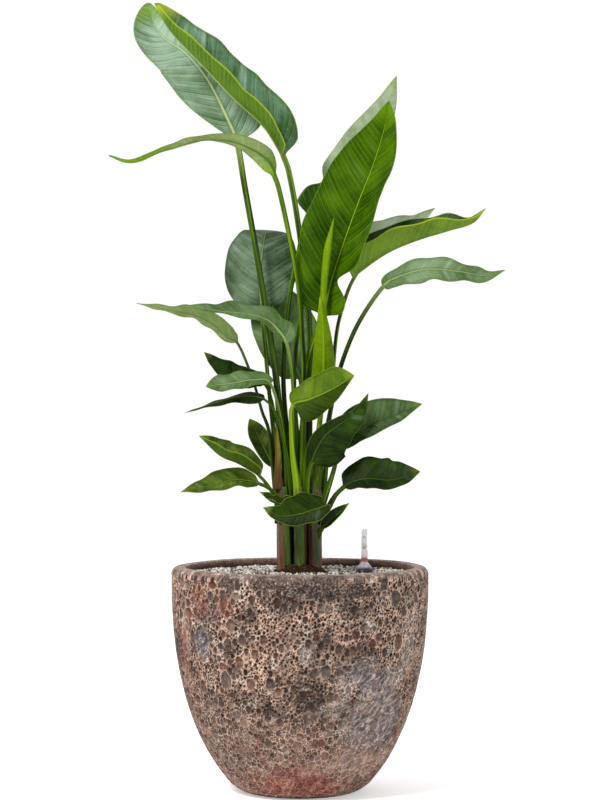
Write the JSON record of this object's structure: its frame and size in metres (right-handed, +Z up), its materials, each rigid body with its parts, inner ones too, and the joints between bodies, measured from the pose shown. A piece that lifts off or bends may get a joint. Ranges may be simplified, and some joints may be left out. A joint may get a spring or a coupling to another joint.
{
  "type": "potted bird of paradise",
  "caption": "Tall clump of paddle-shaped leaves on long stalks, standing in a round textured ceramic pot that is topped with pale granulate, with a water gauge.",
  "frame": {"origin": "middle of the flat base of the pot", "axes": "+Z up, +X to the right in the picture's view, the fuller side of the plant towards -Y"},
  "size_m": [0.6088, 0.401, 1.2428],
  "materials": {
    "pot": "matte",
    "granulate": "matte",
    "soil": "matte",
    "gauge_dark": "satin",
    "gauge_clear": "gloss",
    "gauge_red": "satin",
    "shoot": "satin",
    "leaf": "satin",
    "leaf_young": "satin",
    "dry_sheath": "matte"
  },
  "bodies": {
    "root": {"pot": "pot", "granulate": "granulate", "root_ball": "soil", "gauge_pipe": "gauge_dark", "gauge_collar": "gauge_dark", "gauge_cap": "gauge_clear", "gauge_float": "gauge_red", "shoot_left": "shoot", "shoot_middle": "shoot", "shoot_right": "shoot", "leaf_top_left_rear": "leaf", "leaf_top_left_front": "leaf", "leaf_long_left": "leaf_young", "leaf_round_rear": "leaf", "leaf_tall_centre": "leaf_young", "leaf_tall_rear": "leaf", "leaf_right_rear": "leaf", "leaf_right_folded": "leaf", "leaf_right_long": "leaf", "leaf_front_centre": "leaf_young", "leaf_left_slim": "leaf", "leaf_left_rear": "leaf", "leaf_rear_centre": "leaf", "leaf_left_mid_rear": "leaf", "leaf_left_mid": "leaf", "leaf_left_drooping": "leaf", "leaf_left_small_upright": "leaf", "leaf_left_low_folded": "leaf", "leaf_left_lowest": "leaf", "leaf_low_curled": "leaf", "leaf_low_front": "leaf", "leaf_right_low_small": "leaf", "leaf_right_dark": "leaf", "leaf_right_mid": "leaf", "leaf_right_low": "leaf", "leaf_young_boat": "leaf_young", "leaf_new_rolled": "leaf_young", "dry_sheath_left": "dry_sheath", "dry_sheath_right": "dry_sheath"}
  },
  "joints": []
}
